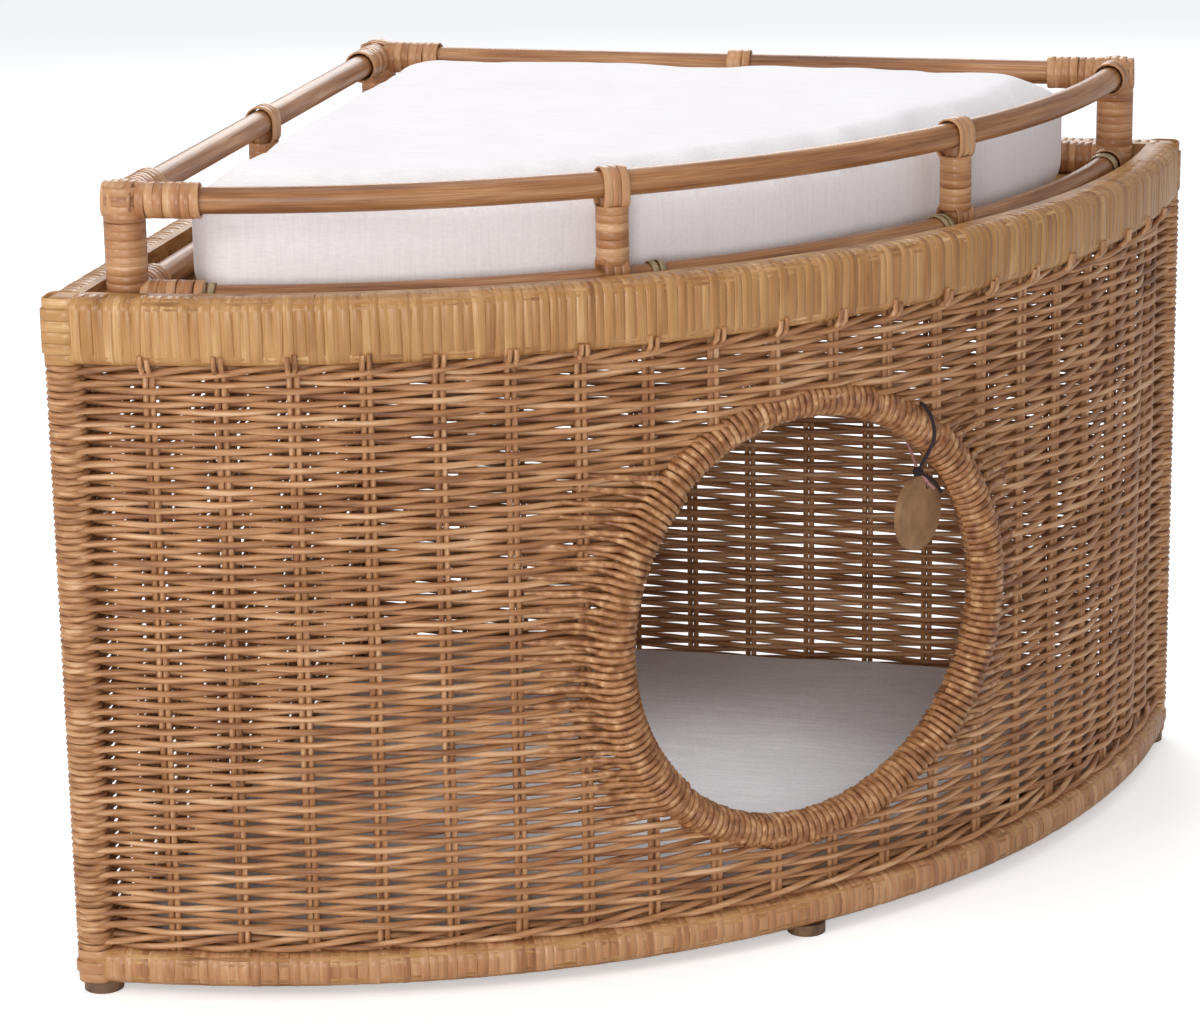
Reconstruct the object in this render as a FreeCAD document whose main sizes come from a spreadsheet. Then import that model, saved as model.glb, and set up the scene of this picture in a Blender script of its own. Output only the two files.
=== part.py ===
# Quarter-round wicker pet house for a room corner: two straight walls, one curved front
# with a round door, a mat inside and a railed deck with a cushion on top.
# Origin: centre of the bounding box at floor level, +Z up. The back corner is at -X +Y.
import FreeCAD, Part
import Sketcher

import math
import os
import re

Vector = FreeCAD.Vector
UP = Vector(0, 0, 1)
SMALL = 1        # shorter than any upright edge and less than any piece's volume
LEVEL = 0.01     # an edge that rises less than this is level
UPRIGHT = 0.99   # least upward part of an upright edge's direction

# ---- driving dimensions (millimetres) ----
SIZES = {
    "arm": 600,             # outside length of each straight wall, and radius of the front
    "foot_dia": 24,
    "foot_rise": 7,
    "foot_edge": 1,         # from the outer face to the foot
    "post_dia": 16,
    "base_pole": 18,
    "rim_pole": 18.2,
    "pole_gap": 0.4,        # between the two poles stacked in the rim
    "peel": 1.3,            # thickness of the flat peel wrapped round base and rim
    "band_round": 7,        # rounding of the wrapped bands
    "corner_round": 8,
    "cap": 3,               # wrapping that closes over the top of a corner post
    "weave_rise": 344,
    "weave_depth": 9,
    "weaver": 3,
    "wale_rise": 10,
    "stake_dia": 3.8,
    "stake_pitch": 42.8,
    "stake_margin": 43,     # least distance of a pair from a straight wall's ends
    "front_margin": 53.75,  # the same on the curved front
    "stake_shift": 3,       # the front pairs start this much nearer the left corner
    "door_reach": 137,      # ring centre line
    "door_sill": 20,        # wall left between the base wale and the ring
    "door_setback": 16,
    "ring_core": 13,
    "ring_tube": 21,
    "panel": 6,
    "slat_rise": 8,
    "slat_width": 40,
    "deck": 8,
    "deck_drop": 17.6,      # deck surface below the rim's top
    "bearer_dia": 16,
    "rail_dia": 16,
    "rail_inset": 40,
    "rail_rise": 58,        # between the centre lines of the two rails
    "rail_post": 19,
    "mid_post": 14,
    "bind": 2.5,            # thickness of the bindings on the rails
    "post_wrap": 2,
    "mid_wrap": 3,
    "bind_reach": 43,
    "collar": 20,
    "cushion_inset": 51.5,
    "cushion_rise": 70,
    "cushion_corner": 38,
    "cushion_round": 14,
    "cover": 1.5,
    "mat_inset": 24,
    "mat_front_inset": 30,
    "mat_rise": 31,
    "mat_corner": 24,
    "mat_round": 9,
    "tag_dia": 48,
    "tag_thick": 4,
    "tag_angle": 51,        # place of the lace on the door ring, from the horizontal
    "tag_turn": 20.6,
    "tag_gap": 2,           # from the knot's centre down to the disc's edge
    "lace_dia": 2.4,
    "lace_drop": 28,
    "knot_dia": 7,
    "fit": 0.1,             # clearance of round pieces in their wraps
    "soft_gap": 0.3,        # clearance of loose soft pieces on what carries them
}
MID_POST_ANGLES = {"front_a": 33.5, "front_b": 60.0}

doc = FreeCAD.newDocument("corner_pet_house")
sheet = doc.addObject("Spreadsheet::Sheet", "size")
for row, (word, value) in enumerate(SIZES.items(), start=1):
    sheet.set(f"A{row}", word)
    sheet.set(f"B{row}", str(value))
    sheet.setAlias(f"B{row}", word)
doc.recompute()


def size(word):
    return float(sheet.get(word))


def formula(text):
    """Turns plain words such as arm / 2 into an expression on the sheet's cells."""
    return re.sub(r"[a-z_]+", lambda found: "size." + found.group(), text)


arm = size("arm")
base_width = size("base_pole") + 2 * size("peel")
rim_width = size("rim_pole") + 2 * size("peel")
rim_height = 2 * size("rim_pole") + size("pole_gap") + 2 * size("peel")
base_bottom = size("foot_rise")
base_top = base_bottom + base_width
weave_bottom = base_top + size("wale_rise")
weave_top = weave_bottom + size("weave_rise")
rim_bottom = weave_top + size("wale_rise")
rim_top = rim_bottom + rim_height
wall_inset = rim_width / 2
weave_inset = wall_inset - size("weave_depth") / 2
post_inset = wall_inset
deck_top = rim_top - size("deck_drop")
lower_rail = deck_top + size("bind") + size("rail_dia") / 2
upper_rail = lower_rail + size("rail_rise")
panel_top = base_bottom + size("slat_rise") + size("panel")
fit = size("fit")


def at(right, forward, height):
    """A point measured from the back corner: along the back wall, along the left wall, up."""
    return Vector(right - arm / 2, arm / 2 - forward, height)


def on_arc(radius, degrees, height):
    """A point round the back corner, with 0 degrees at the left end of the front."""
    angle = math.radians(degrees)
    return at(radius * math.sin(angle), radius * math.cos(angle), height)


def bind(thing, **sizes):
    for name, text in sizes.items():
        thing.setExpression(name, formula(text))
    return thing


def make(kind, label):
    thing = doc.addObject(kind, label)
    thing.Label = label
    return thing


def put(thing, spot, direction=UP, turn=0):
    spin = FreeCAD.Rotation(UP, turn)
    thing.Placement = FreeCAD.Placement(spot, FreeCAD.Rotation(UP, direction).multiply(spin))
    return thing


def solid(label, shape, spot=None):
    """A piece made with Part's own functions; its place is set after its shape."""
    thing = make("Part::Feature", label)
    thing.Shape = shape
    thing.Placement = FreeCAD.Placement(spot or Vector(), FreeCAD.Rotation())
    return thing


def rod(label, start, direction, diameter, length):
    thing = bind(make("Part::Cylinder", label), Radius=f"({diameter}) / 2", Height=length)
    return put(thing, start, direction)


def arc_rod(label, height, inset, diameter):
    """A round pole bent to the front's curve, over the whole quarter turn."""
    thing = bind(make("Part::Torus", label), Radius1=f"arm - ({inset})", Radius2=f"({diameter}) / 2")
    thing.Angle3 = 90
    return put(thing, at(0, 0, height), turn=-90)


def cut(label, base, *tools):
    thing = make("Part::Cut", label)
    thing.Base = base
    if len(tools) == 1:
        thing.Tool = tools[0]
    else:
        together = make("Part::Compound", label + "_tools")
        together.Links = list(tools)
        thing.Tool = together
    return thing


def side_blocks(label, inset):
    """Two blocks that take away all that lies nearer than inset to the straight walls' planes."""
    long_way = "arm + 2 * foot_dia"
    across = bind(make("Part::Box", label + "_across"), Length=long_way, Width=inset, Height=long_way)
    along = bind(make("Part::Box", label + "_along"), Length=inset, Width=long_way, Height=long_way)
    put(across, at(0, size_of(inset), 0))
    put(along, at(0, arm + 2 * size("foot_dia"), 0))
    return [across, along]


def size_of(text):
    """The value of a formula on the sheet's words."""
    number = re.sub(r"[a-z_]+", lambda found: str(size(found.group())), text)
    total = FreeCAD.Units.Quantity(number)
    return float(total.Value)


def wedge(radius, height):
    """A quarter disc round the back corner."""
    return Part.makeCylinder(radius, height, at(0, 0, 0), UP, 90).rotate(at(0, 0, 0), UP, -90)


def outline(inset, bottom, top):
    """The house's plan, drawn in by inset on all sides, as a block between two heights."""
    quarter = Part.makeCylinder(arm - inset, top - bottom, at(0, 0, bottom), UP, 90)
    quarter.rotate(at(0, 0, bottom), UP, -90)
    room = Part.makeBox(arm, arm, top - bottom, at(inset, arm + inset, bottom))
    return quarter.common(room)


def upright(spot, diameter, bottom, top):
    return Part.makeCylinder(diameter / 2, top - bottom, Vector(spot.x, spot.y, bottom), UP)


def arc_tube(radius, diameter, height):
    tube = Part.makeTorus(radius, diameter / 2, at(0, 0, height), UP, 0, 360, 90)
    tube.rotate(at(0, 0, height), UP, -90)
    return tube


def straight_tube(start, end, diameter):
    way = end - start
    return Part.makeCylinder(diameter / 2, way.Length, start, way)


def join(shapes):
    return shapes[0].fuse(shapes[1:]).removeSplitter()


far_post = math.sqrt((arm - post_inset) ** 2 - post_inset ** 2)
CORNERS = {
    "left": at(post_inset, far_post, 0),
    "back": at(post_inset, post_inset, 0),
    "right": at(far_post, post_inset, 0),
}


# ---- feet and corner posts ----
foot_inset = size("foot_dia") / 2 + size("foot_edge")
foot_far = math.sqrt((arm - foot_inset) ** 2 - foot_inset ** 2)
FEET = {
    "left": at(foot_inset, foot_far, 0),
    "back": at(foot_inset, foot_inset, 0),
    "right": at(foot_far, foot_inset, 0),
    "front": on_arc(arm - foot_inset, 45, 0),
}
for name, spot in FEET.items():
    rod("foot_" + name, spot, UP, "foot_dia", "foot_rise")
post_top = rim_top - size("cap")
POST_RISE = "base_pole + 2 * rim_pole + pole_gap + 4 * peel + 2 * wale_rise + weave_rise - cap"
post_bores = []
for name, spot in CORNERS.items():
    rod("post_" + name, spot + UP * base_bottom, UP, "post_dia", POST_RISE)
    post_bores.append(rod("post_bore_" + name, spot + UP * base_bottom, UP, "post_dia + 2 * fit", POST_RISE))


# ---- base pole and the two rim poles on each side ----
def side_poles(name, height, diameter, width):
    """The three poles of one level, which end at the corner blocks of their wrapping."""
    inset = f"{diameter} / 2 + peel"
    block = size_of(width)
    deep = size_of(inset)
    whole = arc_rod(name + "_arc", height, inset, diameter)
    cut(name + "_front", whole, *(side_blocks(name, width) + post_bores))
    length = f"arm - 2 * ({width})"
    along = rod(name + "_left_run", at(deep, arm - block, height), Vector(0, 1, 0), diameter, length)
    cut(name + "_left", along, *post_bores)
    across = rod(name + "_back_run", at(block, deep, height), Vector(1, 0, 0), diameter, length)
    cut(name + "_back", across, *post_bores)


BASE_WIDTH = "base_pole + 2 * peel"
RIM_WIDTH = "rim_pole + 2 * peel"
base_level = base_bottom + base_width / 2
rim_lower = rim_bottom + size("peel") + size("rim_pole") / 2
rim_upper = rim_lower + size("rim_pole") + size("pole_gap")
side_poles("base_pole", base_level, "base_pole", BASE_WIDTH)
side_poles("rim_lower", rim_lower, "rim_pole", RIM_WIDTH)
side_poles("rim_upper", rim_upper, "rim_pole", RIM_WIDTH)


# ---- peel wrapping of base and rim: one loop each, bored for poles and posts ----
def rounded(block, wall_round, edge_round):
    """Rounds a block's outer corners first and then its level edges."""
    corners = [e for e in block.Edges if abs(e.tangentAt(e.FirstParameter).z) > UPRIGHT]
    corners = [e for e in corners if e.BoundBox.ZLength > SMALL]
    shape = block.makeFillet(wall_round, corners)
    level = [e for e in shape.Edges if e.BoundBox.ZLength < LEVEL]
    return shape.makeFillet(edge_round, level)


def channels(levels, diameter, inset, width):
    """Bores for the poles of a band, as long as the poles."""
    bore = diameter + 2 * fit
    bores = []
    keep = Part.makeBox(arm, arm, rim_top + arm, at(width, arm + width, 0))
    for height in levels:
        bores.append(arc_tube(arm - inset, bore, height).common(keep))
        bores.append(straight_tube(at(inset, width, height), at(inset, arm - width, height), bore))
        bores.append(straight_tube(at(width, inset, height), at(arm - width, inset, height), bore))
    return bores


def band(name, bottom, top, width, diameter, levels):
    outer = rounded(outline(0, bottom, top), size("corner_round"), size("band_round"))
    inner = outline(width, bottom, top)
    loop = outer.cut(inner)
    tools = channels(levels, diameter, diameter / 2 + size("peel"), width)
    for spot in CORNERS.values():
        tools.append(upright(spot, size("post_dia") + 2 * fit, bottom - 1, post_top))
    solid(name, loop.cut(tools))


band("base_wrap", base_bottom, base_top, base_width, size("base_pole"), [base_level])
band("rim_wrap", rim_bottom, rim_top, rim_width, size("rim_pole"), [rim_lower, rim_upper])


# ---- stakes: pairs of uprights at an even pitch ----
def along_wall(run, margin, shift):
    """Places of the pairs along a wall of the given length."""
    gaps = math.floor((run - 2 * margin) / size("stake_pitch"))
    first = (run - gaps * size("stake_pitch")) / 2 - shift
    return [first + k * size("stake_pitch") for k in range(gaps + 1)]


def single_places(pairs):
    half = size("stake_dia") / 2 + 2 * fit
    return [place + side * half for place in pairs for side in (-1, 1)]


front_run = arm * math.pi / 2
front_pairs = along_wall(front_run, size("front_margin"), size("stake_shift"))
side_pairs = along_wall(arm, size("stake_margin"), 0)
front_line = arm - wall_inset
STAKES = {
    "front": [on_arc(front_line, math.degrees(s / arm), 0) for s in single_places(front_pairs)],
    "left": [at(wall_inset, s, 0) for s in single_places(side_pairs)],
    "back": [at(s, wall_inset, 0) for s in single_places(side_pairs)],
}

# ---- the door ring: a reed-wrapped hoop set upright in the middle of the front ----
door_height = weave_bottom + size("door_sill") + size("ring_tube") / 2 + size("door_reach")
door_centre = on_arc(arm - size("door_setback"), 45, door_height)
outward = Vector(math.sin(math.pi / 4), -math.cos(math.pi / 4), 0)
sideways = Vector(math.cos(math.pi / 4), math.sin(math.pi / 4), 0)
door_core = bind(make("Part::Torus", "door_core"), Radius1="door_reach", Radius2="ring_core / 2")
put(door_core, door_centre, outward)
ring_outer = bind(make("Part::Torus", "ring_outer"), Radius1="door_reach", Radius2="ring_tube / 2")
put(ring_outer, door_centre, outward)
ring_inner = bind(make("Part::Torus", "ring_inner"), Radius1="door_reach", Radius2="ring_core / 2 + fit")
put(ring_inner, door_centre, outward)
cut("door_wrap", ring_outer, ring_inner)
past_wall = 2 * size("ring_tube")
doorway = Part.makeCylinder(size("door_reach"), 2 * past_wall, door_centre - outward * past_wall, outward)
ring_room = Part.makeTorus(size("door_reach"), size("ring_tube") / 2 + fit, door_centre, outward)

# ---- where the tag's lace loops round the ring; it passes through the weave above it ----
tilt = math.radians(size("tag_angle"))
toward_lace = sideways * math.cos(tilt) + UP * math.sin(tilt)
hang = door_centre + toward_lace * size("door_reach")
slant = size("ring_tube") / 2 / math.sin(tilt)
loop_radius = slant + size("lace_dia") + size("soft_gap") * 2
lace_room = Part.makeTorus(loop_radius, size("lace_dia") / 2 + size("soft_gap") * 2, hang, sideways)

for name, spots in STAKES.items():
    rods = [upright(spot, size("stake_dia"), base_top, rim_bottom) for spot in spots]
    bundle = Part.Compound(rods)
    if name == "front":
        bundle = bundle.cut([doorway, ring_room, lace_room])
    solid("stakes_" + name, bundle)


# ---- woven walls, bored for the stakes ----
def stake_bores(name):
    bore = size("stake_dia") + 2 * fit
    return [upright(spot, bore, weave_bottom - 1, weave_top + 1) for spot in STAKES[name]]


sleeve_reach = size("post_dia") / 2 + size("weaver")
wall_start = post_inset + sleeve_reach
wall_end = far_post - sleeve_reach
depth = size("weave_depth")
shell = wedge(arm - weave_inset, arm).cut(wedge(arm - weave_inset - depth, arm))
gate = Part.makeBox(arm, arm, size("weave_rise"), at(wall_start, arm + wall_start, weave_bottom))
front_wall = shell.common(gate).cut(stake_bores("front") + [doorway, ring_room, lace_room])
solid("weave_front", front_wall)
wall_run = wall_end - wall_start
left_start = at(weave_inset, wall_end, weave_bottom)
left_wall = Part.makeBox(depth, wall_run, size("weave_rise"), left_start)
solid("weave_left", left_wall.cut(stake_bores("left")))
back_start = at(wall_start, weave_inset + depth, weave_bottom)
back_wall = Part.makeBox(wall_run, depth, size("weave_rise"), back_start)
solid("weave_back", back_wall.cut(stake_bores("back")))

# ---- weavers turned round the corner posts ----
post_bore = size("post_dia") + 2 * fit
for name, spot in CORNERS.items():
    turned = upright(spot, 2 * sleeve_reach, weave_bottom, weave_top)
    solid("sleeve_" + name, turned.cut(upright(spot, post_bore, weave_bottom - 1, weave_top + 1)))


# ---- twisted wales above the base and below the rim ----
def wale(name, bottom, top):
    loop = outline(weave_inset, bottom, top).cut(outline(weave_inset + depth, bottom, top))
    turns = [upright(spot, 2 * sleeve_reach, bottom, top) for spot in CORNERS.values()]
    bores = [upright(spot, post_bore, bottom - 1, top + 1) for spot in CORNERS.values()]
    bore = size("stake_dia") + 2 * fit
    for spots in STAKES.values():
        bores += [upright(spot, bore, bottom - 1, top + 1) for spot in spots]
    solid(name, join([loop] + turns).cut(bores))


wale("wale_base", base_top, weave_bottom)
wale("wale_top", weave_top, rim_bottom)


# ---- floor of the den and deck of the tray, on their bearers ----
def quarter_panel(name, bottom, inset, thickness):
    disc = bind(make("Part::Cylinder", name + "_disc"), Radius=f"arm - ({inset})", Height=thickness)
    disc.Angle = 90
    put(disc, at(0, 0, bottom), turn=-90)
    room = bind(make("Part::Box", name + "_room"), Length="arm", Width="arm", Height=thickness)
    put(room, at(size_of(inset), arm + size_of(inset), bottom))
    panel = make("Part::Common", name)
    panel.Base = disc
    panel.Tool = room
    return panel


quarter_panel("floor_panel", base_bottom + size("slat_rise"), BASE_WIDTH, "panel")
quarter_panel("deck_panel", deck_top - size("deck"), RIM_WIDTH, "deck")


def bearers(name, width, places, piece):
    """Cross pieces from the left wall to the front, cut to the room between the bands."""
    room = outline(width + fit, 0, rim_top)
    solid(name, Part.Compound([piece(place).common(room) for place in places]))


def slat(place):
    wide = size("slat_width")
    return Part.makeBox(arm, wide, size("slat_rise"), at(0, place + wide / 2, base_bottom))


def deck_pole(place):
    height = deck_top - size("deck") - size("bearer_dia") / 2
    return straight_tube(at(0, place, height), at(arm, place, height), size("bearer_dia"))


quarters = [arm * k / 4 for k in (1, 2, 3)]
bearers("floor_bearers", base_width, quarters, slat)
bearers("deck_bearers", rim_width, quarters, deck_pole)

# ---- rails round the tray ----
rail_inset = size("rail_inset")
rail_far = math.sqrt((arm - rail_inset) ** 2 - rail_inset ** 2)
RAIL_CORNERS = {
    "left": at(rail_inset, rail_far, 0),
    "back": at(rail_inset, rail_inset, 0),
    "right": at(rail_far, rail_inset, 0),
}
RAIL_RUN = "((arm - rail_inset) ^ 2 - rail_inset ^ 2) ^ 0.5 - rail_inset"
rail_top = upper_rail + size("rail_dia") / 2
rail_bores = []
for name, spot in RAIL_CORNERS.items():
    rod("rail_post_" + name, spot + UP * deck_top, UP, "rail_post", "rail_rise + rail_dia + bind")
    bore = bind(make("Part::Cylinder", "rail_bore_" + name), Radius="rail_post / 2 + fit", Height="arm")
    rail_bores.append(put(bore, spot + UP * deck_top))
for level, height in {"lower": lower_rail, "upper": upper_rail}.items():
    name = "rail_" + level
    whole = arc_rod(name + "_arc", height, "rail_inset", "rail_dia")
    front = cut(name + "_front", whole, *(side_blocks(name, "rail_inset") + rail_bores))
    left = rod(name + "_left_run", at(rail_inset, rail_far, height), Vector(0, 1, 0), "rail_dia", RAIL_RUN)
    back = rod(name + "_back_run", at(rail_inset, rail_inset, height), Vector(1, 0, 0), "rail_dia", RAIL_RUN)
    left = cut(name + "_left", left, *(rail_bores + [front]))
    cut(name + "_back", back, *(rail_bores + [front, left]))


# ---- uprights between the rails ----
def rails_solid(diameter):
    """Both rails all round, as thick as asked, from one post's centre line to the next."""
    room = Part.makeBox(arm, arm, rim_top + arm, at(rail_inset, arm + rail_inset, 0))
    tubes = []
    for height in (lower_rail, upper_rail):
        back = at(rail_inset, rail_inset, height)
        tubes.append(arc_tube(arm - rail_inset, diameter, height).common(room))
        tubes.append(straight_tube(back, at(rail_inset, rail_far, height), diameter))
        tubes.append(straight_tube(back, at(rail_far, rail_inset, height), diameter))
    return tubes


rail_room = rails_solid(size("rail_dia") + 2 * fit)
MID_POSTS = {
    "left": at(rail_inset, arm / 2, 0),
    "back": at(arm / 2, rail_inset, 0),
}
for name, degrees in MID_POST_ANGLES.items():
    MID_POSTS[name] = on_arc(arm - rail_inset, degrees, 0)
mid_wraps = []
for name, spot in MID_POSTS.items():
    core = upright(spot, size("mid_post"), lower_rail, upper_rail)
    solid("mid_post_" + name, core.cut(rail_room))
    wrap_dia = size("mid_post") + 2 * size("mid_wrap")
    wrap = upright(spot, wrap_dia, lower_rail, upper_rail).cut(
        rail_room + [upright(spot, size("mid_post") + 2 * fit, lower_rail, upper_rail)])
    ends = upright(spot, size("collar"), deck_top, upper_rail + size("rail_dia"))
    tubes = rails_solid(size("rail_dia") + size("bind"))
    loops = [tube.common(ends) for tube in tubes[len(tubes) // 2:]]
    collar = join([loop for loop in loops if loop.Volume > SMALL])
    mid_wraps.append(join([wrap, collar.cut(rail_room + [core])]))
solid("mid_wraps", Part.Compound(mid_wraps))

# ---- bindings at the rail corners ----
reach = size("bind_reach")
arm_dia = size("rail_dia") + 2 * size("bind")
for name, spot in RAIL_CORNERS.items():
    wrapped = size("rail_post") + 2 * size("post_wrap")
    column = upright(spot, wrapped, deck_top, rail_top + size("bind"))
    near = upright(spot, 2 * reach, deck_top, rail_top + size("rail_dia"))
    bore = upright(spot, size("rail_post") + 2 * fit, 0, rail_top)
    shell = column.cut(bore)
    for run in rail_room:
        shell = shell.cut(run)
    pieces = [shell]
    for outer in rails_solid(arm_dia):
        sleeve = outer.common(near).cut(column)
        for taken in rail_room + pieces[1:]:
            sleeve = sleeve.cut(taken)
        pieces += [part for part in sleeve.Solids if part.Volume > SMALL]
    solid("binding_" + name, Part.Compound(pieces))


# ---- soft pieces: quarter-round cushion and mat ----
def quarter_pad(name, bottom, side, front, thickness, corner, edge):
    """A pad with the plan of a quarter circle, rounded at its corners and edges."""
    body = make("PartDesign::Body", name)
    flat = [f for f in body.Origin.OriginFeatures if f.Role == "XY_Plane"][0]
    sketch = body.newObject("Sketcher::SketchObject", name + "_plan")
    sketch.AttachmentSupport = [(flat, "")]
    sketch.MapMode = "FlatFace"
    near = size_of(side)
    radius = size_of(front)
    far = math.sqrt(radius ** 2 - near ** 2)
    turn = math.asin(near / radius)
    corner_point = Vector(near, -near, 0)
    circle = Part.Circle(Vector(), UP, radius)
    sketch.addGeometry(Part.LineSegment(corner_point, Vector(near, -far, 0)))
    sketch.addGeometry(Part.LineSegment(corner_point, Vector(far, -near, 0)))
    sketch.addGeometry(Part.ArcOfCircle(circle, turn - math.pi / 2, -turn))
    rules = [("Coincident", 0, 1, 1, 1), ("Coincident", 0, 2, 2, 1), ("Coincident", 1, 2, 2, 2),
             ("Vertical", 0), ("Horizontal", 1), ("Coincident", 2, 3, -1, 1)]
    for rule in rules:
        sketch.addConstraint(Sketcher.Constraint(*rule))
    sketch.addConstraint(Sketcher.Constraint("Radius", 2, radius))
    sketch.setExpression("Constraints[6]", formula(front))
    sketch.addConstraint(Sketcher.Constraint("DistanceX", -1, 1, 0, 1, near))
    sketch.setExpression("Constraints[7]", formula(side))
    sketch.addConstraint(Sketcher.Constraint("DistanceY", 0, 1, -1, 1, near))
    sketch.setExpression("Constraints[8]", formula(side))
    pad = body.newObject("PartDesign::Pad", name + "_pad")
    pad.Profile = sketch
    bind(pad, Length=thickness)
    doc.recompute()
    previous = pad
    for label, radius_text, standing in (("corners", corner, True), ("edges", edge, False)):
        fillet = body.newObject("PartDesign::Fillet", f"{name}_{label}")
        edges = []
        for number, e in enumerate(previous.Shape.Edges, start=1):
            tall = e.BoundBox.ZLength > SMALL
            if tall == standing:
                edges.append(f"Edge{number}")
        fillet.Base = (previous, edges)
        bind(fillet, Radius=radius_text)
        doc.recompute()
        previous = fillet
    body.Placement = FreeCAD.Placement(at(0, 0, bottom), FreeCAD.Rotation())
    return body


cushion_bottom = deck_top + size("soft_gap")
whole_cushion = quarter_pad("cushion_form", cushion_bottom, "cushion_inset", "arm - cushion_inset",
                            "cushion_rise", "cushion_corner", "cushion_round")
filling = quarter_pad("cushion_filling", cushion_bottom + size("cover"), "cushion_inset + cover",
                      "arm - cushion_inset - cover", "cushion_rise - 2 * cover",
                      "cushion_corner - cover", "cushion_round - cover")
cut("cushion_cover", whole_cushion, filling)
quarter_pad("den_mat", panel_top + size("soft_gap"), "mat_inset", "arm - mat_front_inset",
            "mat_rise", "mat_corner", "mat_round")

# ---- hang tag: a disc on a lace looped round the door ring ----
knot = hang - UP * size("lace_drop")
spread = math.acos(loop_radius / size("lace_drop"))


def round_ring(degrees_from_down):
    angle = math.radians(degrees_from_down)
    return hang + outward * (loop_radius * math.sin(angle)) - UP * (loop_radius * math.cos(angle))


opening = math.degrees(spread)
front_end = round_ring(opening)
rear_end = round_ring(-opening)
knot_ball = Part.makeSphere(size("knot_dia") / 2, knot)
strands = [straight_tube(knot, end, size("lace_dia")) for end in (front_end, rear_end)]
hoop = Part.makeTorus(loop_radius, size("lace_dia") / 2, hang, sideways)
open_corners = [hang, hang + (front_end - hang) * 2, knot - UP * loop_radius, hang + (rear_end - hang) * 2]
open_face = Part.Face(Part.makePolygon(open_corners + [hang]))
open_side = open_face.translate(sideways * -loop_radius).extrude(sideways * 2 * loop_radius)
lace = join([hoop.cut(open_side), knot_ball] + strands)
solid("tag_lace", lace)
disc_centre = knot - UP * (size("tag_dia") / 2 + size("tag_gap"))
turned_out = FreeCAD.Rotation(UP, size("tag_turn")).multVec(outward)
disc_back = disc_centre - turned_out * (size("tag_thick") / 2)
disc = Part.makeCylinder(size("tag_dia") / 2, size("tag_thick"), disc_back, turned_out)
solid("tag_disc", disc.cut([lace]))

# ---- check every object and write the pieces ----
NODES = (
    [f"foot_{n}" for n in FEET] + [f"post_{n}" for n in CORNERS]
    + [f"{p}_{s}" for p in ("base_pole", "rim_lower", "rim_upper") for s in ("front", "left", "back")]
    + ["base_wrap", "rim_wrap", "wale_base", "wale_top", "door_core", "door_wrap"]
    + [f"{p}_{s}" for p in ("stakes", "weave") for s in ("front", "left", "back")]
    + [f"sleeve_{n}" for n in CORNERS]
    + ["floor_panel", "floor_bearers", "deck_panel", "deck_bearers"]
    + [f"{p}_{s}" for p in ("rail_lower", "rail_upper") for s in ("front", "left", "back")]
    + [f"rail_post_{n}" for n in RAIL_CORNERS] + [f"mid_post_{n}" for n in MID_POSTS]
    + ["mid_wraps"] + [f"binding_{n}" for n in RAIL_CORNERS]
    + ["cushion_cover", "cushion_filling", "den_mat", "tag_disc", "tag_lace"]
)
doc.recompute()
for thing in doc.Objects:
    if "Invalid" in thing.State or "Error" in thing.State:
        raise SystemExit(f"{thing.Label} failed: {thing.State}")
os.makedirs("parts", exist_ok=True)
for node in NODES:
    piece = doc.getObjectsByLabel(node)[0]
    if piece.Shape.isNull() or not piece.Shape.isValid() or not piece.Shape.Solids:
        raise SystemExit(f"{node} has no valid shape")
    piece.Shape.exportStep(f"parts/{node}.step")
    print(f"{node:18s} {len(piece.Shape.Solids):3d} solids {piece.Shape.Volume / 1000:10.2f} cm3")
print(len(NODES), "nodes")
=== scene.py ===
# %% [markdown]
# # A wicker corner house for a cat
# The real object is a basket maker's piece: rattan poles form the frame, round weavers run
# between pairs of stakes, and flat peel is wrapped round the edges.

# %% Load the construction and keep its box
import math
import random

import bmesh
import bpy
from mathutils import Matrix, Vector, noise


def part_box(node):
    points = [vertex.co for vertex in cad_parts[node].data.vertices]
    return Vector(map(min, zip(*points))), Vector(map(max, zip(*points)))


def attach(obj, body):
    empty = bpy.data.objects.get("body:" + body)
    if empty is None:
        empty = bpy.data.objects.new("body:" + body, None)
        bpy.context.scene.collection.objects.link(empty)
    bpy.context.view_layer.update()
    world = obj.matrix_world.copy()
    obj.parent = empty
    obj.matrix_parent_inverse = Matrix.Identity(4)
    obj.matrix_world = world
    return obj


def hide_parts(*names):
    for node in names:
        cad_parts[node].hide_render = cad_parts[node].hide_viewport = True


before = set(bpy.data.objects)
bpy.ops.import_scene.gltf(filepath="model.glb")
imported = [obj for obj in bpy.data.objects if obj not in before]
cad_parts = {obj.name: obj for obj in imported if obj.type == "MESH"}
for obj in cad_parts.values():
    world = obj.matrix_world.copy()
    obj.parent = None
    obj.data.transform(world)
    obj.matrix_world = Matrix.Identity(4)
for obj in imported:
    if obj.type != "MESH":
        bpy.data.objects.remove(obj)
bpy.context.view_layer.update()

# %% [markdown]
# The camera stands in front of the left end of the curved wall, a little above the deck, and
# looks down at it. A long lens keeps the upright lines nearly parallel, as a product view has.

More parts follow.
